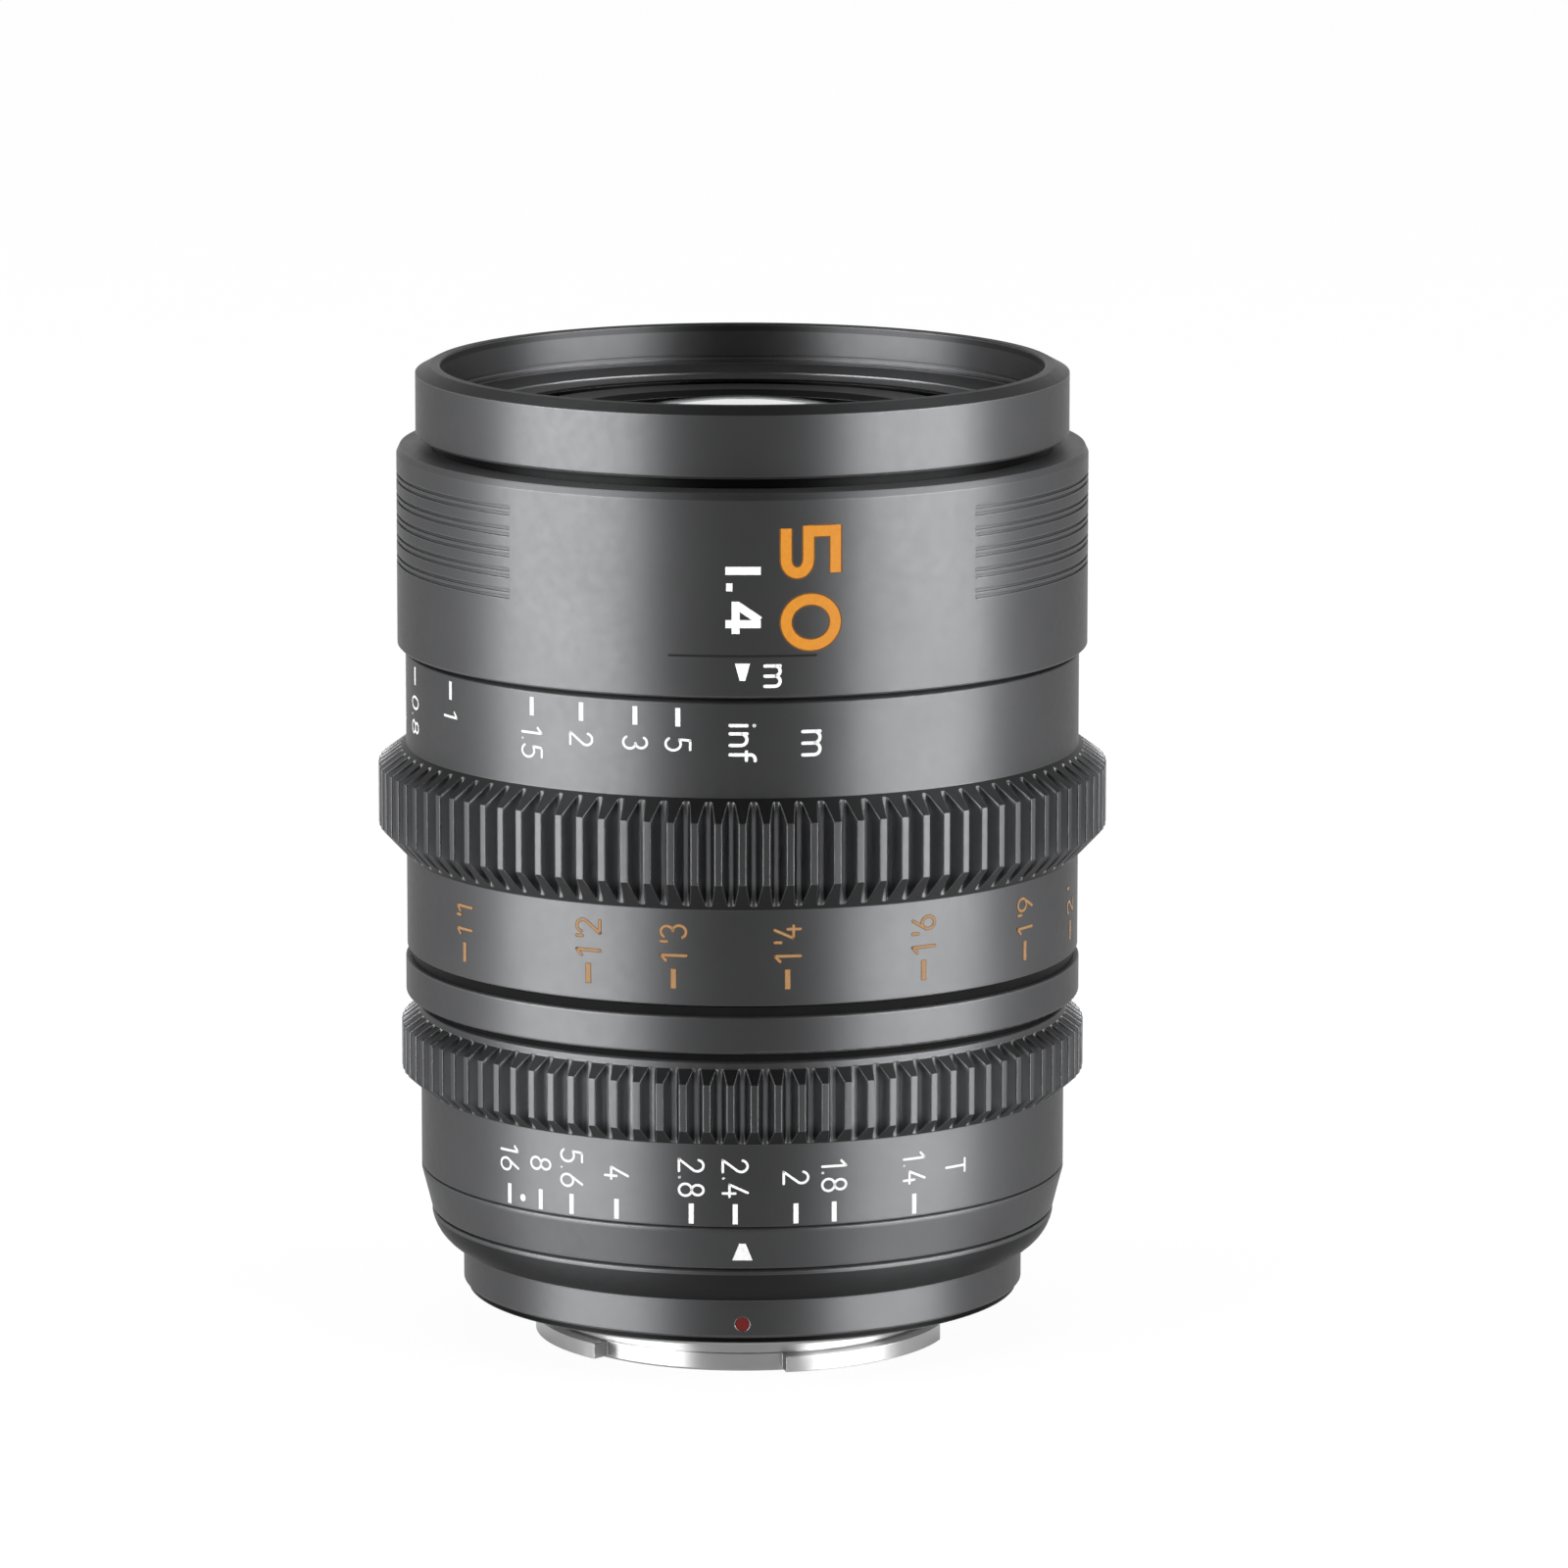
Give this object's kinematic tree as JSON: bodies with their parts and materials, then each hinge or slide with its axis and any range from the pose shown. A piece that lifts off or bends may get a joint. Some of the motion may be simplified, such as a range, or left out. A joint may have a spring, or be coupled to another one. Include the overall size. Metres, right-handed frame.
{
  "type": "cine lens",
  "caption": "Cine prime lens with geared focus and iris rings, engraved scales, an internal focusing group, a bladed iris and a three-lug bayonet mount.",
  "frame": {"origin": "centre of the mount's flange face, on the optical axis", "axes": "+Z along the optical axis towards the front element; -Y is the side with the index marks"},
  "size_m": [0.08, 0.08, 0.108],
  "materials": {
    "anodised_shell": "satin dark grey anodised aluminium with filled engravings",
    "black_anodised": "matt black anodised aluminium",
    "coated_glass": "polished optical glass with an antireflection coating",
    "inner_aluminium": "turned aluminium",
    "steel_fasteners": "bright steel",
    "washer_plastic": "black filled low-friction plastic",
    "brass_followers": "turned brass",
    "blackened_brass": "chemically blackened brass",
    "blackened_steel": "blackened spring steel",
    "chrome_mount": "satin chrome on brass",
    "red_index": "deep red glossy plastic",
    "baffle_plastic": "matt black moulded plastic"
  },
  "bodies": {
    "root": {"front_ring": "anodised_shell", "beauty_ring": "black_anodised", "front_retaining_ring": "black_anodised", "front_barrel": "anodised_shell", "front_cell": "black_anodised", "front_element": "coated_glass", "front_spacer": "black_anodised", "second_element": "coated_glass", "third_element": "coated_glass", "third_element_retainer": "black_anodised", "front_cell_screws": "steel_fasteners", "front_barrel_screws": "steel_fasteners", "guide_tube": "inner_aluminium", "front_thrust_washer": "washer_plastic", "rear_thrust_ring": "washer_plastic", "focus_stop_pin": "steel_fasteners", "mid_ring": "anodised_shell", "iris_housing": "inner_aluminium", "iris_thrust_washer": "washer_plastic", "iris_base_plate": "blackened_brass", "iris_retaining_ring": "black_anodised", "rear_cell": "black_anodised", "seventh_element": "coated_glass", "rear_short_spacer": "black_anodised", "eighth_element": "coated_glass", "rear_long_spacer": "black_anodised", "ninth_element": "coated_glass", "rear_retaining_ring": "black_anodised", "index_ring": "anodised_shell", "rear_barrel": "anodised_shell", "mount_shim": "brass_followers", "bayonet_mount": "chrome_mount", "mount_screws": "steel_fasteners", "mount_index_dot": "red_index", "rear_baffle": "baffle_plastic"},
    "focus_drive": {"focus_ring": "anodised_shell", "cam_sleeve": "inner_aluminium", "focus_ring_screws": "steel_fasteners"},
    "focus_group": {"focus_carriage": "black_anodised", "follower_pins": "brass_followers", "fourth_element": "coated_glass", "carriage_front_spacer": "black_anodised", "fifth_element": "coated_glass", "carriage_rear_spacer": "black_anodised", "sixth_element": "coated_glass", "carriage_retaining_ring": "black_anodised"},
    "iris_drive": {"iris_ring": "anodised_shell", "iris_drive_pin": "steel_fasteners", "iris_rotor": "blackened_brass"},
    "blade_1": {"iris_blade_1": "blackened_steel"},
    "blade_2": {"iris_blade_2": "blackened_steel"},
    "blade_3": {"iris_blade_3": "blackened_steel"},
    "blade_4": {"iris_blade_4": "blackened_steel"},
    "blade_5": {"iris_blade_5": "blackened_steel"},
    "blade_6": {"iris_blade_6": "blackened_steel"},
    "blade_7": {"iris_blade_7": "blackened_steel"},
    "blade_8": {"iris_blade_8": "blackened_steel"},
    "blade_9": {"iris_blade_9": "blackened_steel"}
  },
  "joints": [
    {"name": "focus_turn", "type": "hinge", "parent": "root", "child": "focus_drive", "pos_m": [0, 0, 0.056], "axis": [0, 0, 1], "range_deg": [0, 235]},
    {"name": "focus_slide", "type": "slide", "parent": "root", "child": "focus_group", "axis": [0, 0, 1], "range_m": [0, 0.00823]},
    {"name": "iris_turn", "type": "hinge", "parent": "root", "child": "iris_drive", "pos_m": [0, 0, 0.024], "axis": [0, 0, 1], "range_deg": [-31.5, 45.3]},
    {"name": "blade_1_pivot", "type": "hinge", "parent": "root", "child": "blade_1", "pos_m": [0.0208, 0, 0.024], "axis": [0, 0, 1], "range_deg": [-15.28, 21.97]},
    {"name": "blade_2_pivot", "type": "hinge", "parent": "root", "child": "blade_2", "pos_m": [0.01593, 0.01337, 0.024], "axis": [0, 0, 1], "range_deg": [-15.28, 21.97]},
    {"name": "blade_3_pivot", "type": "hinge", "parent": "root", "child": "blade_3", "pos_m": [0.00361, 0.02048, 0.024], "axis": [0, 0, 1], "range_deg": [-15.28, 21.97]},
    {"name": "blade_4_pivot", "type": "hinge", "parent": "root", "child": "blade_4", "pos_m": [-0.0104, 0.01801, 0.024], "axis": [0, 0, 1], "range_deg": [-15.28, 21.97]},
    {"name": "blade_5_pivot", "type": "hinge", "parent": "root", "child": "blade_5", "pos_m": [-0.01955, 0.00711, 0.024], "axis": [0, 0, 1], "range_deg": [-15.28, 21.97]},
    {"name": "blade_6_pivot", "type": "hinge", "parent": "root", "child": "blade_6", "pos_m": [-0.01955, -0.00711, 0.024], "axis": [0, 0, 1], "range_deg": [-15.28, 21.97]},
    {"name": "blade_7_pivot", "type": "hinge", "parent": "root", "child": "blade_7", "pos_m": [-0.0104, -0.01801, 0.024], "axis": [0, 0, 1], "range_deg": [-15.28, 21.97]},
    {"name": "blade_8_pivot", "type": "hinge", "parent": "root", "child": "blade_8", "pos_m": [0.00361, -0.02048, 0.024], "axis": [0, 0, 1], "range_deg": [-15.28, 21.97]},
    {"name": "blade_9_pivot", "type": "hinge", "parent": "root", "child": "blade_9", "pos_m": [0.01593, -0.01337, 0.024], "axis": [0, 0, 1], "range_deg": [-15.28, 21.97]}
  ],
  "couplings": [
    {"joint": "focus_slide", "follows": "focus_turn", "m_per_rad": 0.0020054},
    {"joint": "blade_1_pivot", "follows": "iris_turn", "ratio": 0.485},
    {"joint": "blade_2_pivot", "follows": "iris_turn", "ratio": 0.485},
    {"joint": "blade_3_pivot", "follows": "iris_turn", "ratio": 0.485},
    {"joint": "blade_4_pivot", "follows": "iris_turn", "ratio": 0.485},
    {"joint": "blade_5_pivot", "follows": "iris_turn", "ratio": 0.485},
    {"joint": "blade_6_pivot", "follows": "iris_turn", "ratio": 0.485},
    {"joint": "blade_7_pivot", "follows": "iris_turn", "ratio": 0.485},
    {"joint": "blade_8_pivot", "follows": "iris_turn", "ratio": 0.485},
    {"joint": "blade_9_pivot", "follows": "iris_turn", "ratio": 0.485}
  ]
}
